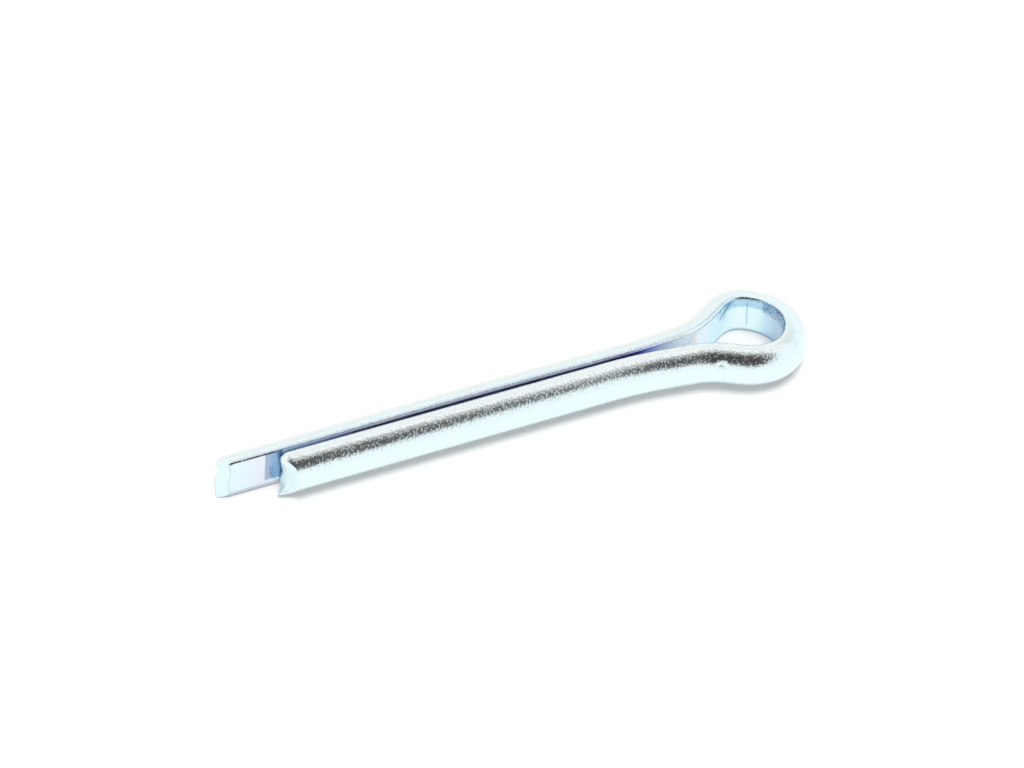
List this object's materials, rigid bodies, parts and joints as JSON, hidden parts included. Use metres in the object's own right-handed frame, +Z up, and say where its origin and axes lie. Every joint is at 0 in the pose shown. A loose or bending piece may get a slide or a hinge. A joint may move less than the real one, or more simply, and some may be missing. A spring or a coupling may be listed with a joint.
{
  "type": "cotter pin",
  "caption": "Split pin of folded half-round wire with a teardrop eye and straight legs of unequal length; it goes through a hole and its legs are bent apart to lock it.",
  "frame": {"origin": "on the shank's axis at the neck, where the straight legs end and begin to part", "axes": "+X along the shank from the leg tips to the eye, +Y from the short leg to the long leg, +Z up, along the axis of the eye"},
  "size_m": [0.0423, 0.0076, 0.0036],
  "materials": {
    "plated_steel": "bright zinc plating on drawn steel wire, mirror-like with a fine speckle"
  },
  "bodies": {
    "root": {"cotter_pin": "plated_steel"}
  },
  "joints": []
}
